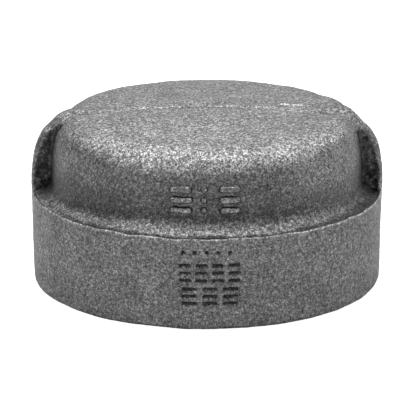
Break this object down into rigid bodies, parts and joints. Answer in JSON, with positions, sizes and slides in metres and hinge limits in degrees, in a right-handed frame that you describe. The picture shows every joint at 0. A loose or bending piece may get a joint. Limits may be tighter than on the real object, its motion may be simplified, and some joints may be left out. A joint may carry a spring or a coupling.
{
  "type": "pipe cap",
  "caption": "Domed threaded pipe cap in cast iron, with a heavy band around its open mouth and a flat rib on each side of the dome.",
  "frame": {"origin": "centre of the open mouth, on the plane of its rim", "axes": "+Z along the thread's axis to the crown, X through the two ribs, -Y to the side with the marks"},
  "size_m": [0.0834, 0.0832, 0.0423],
  "materials": {
    "cast_skin": "as cast, fine sand grain, dull grey",
    "cut_thread": "cut on a lathe, dull bright with tool marks"
  },
  "bodies": {
    "root": {"domed_shell": "cast_skin", "band": "cast_skin", "left_rib": "cast_skin", "right_rib": "cast_skin", "raised_marks": "cast_skin", "threaded_wall": "cut_thread"}
  },
  "joints": []
}
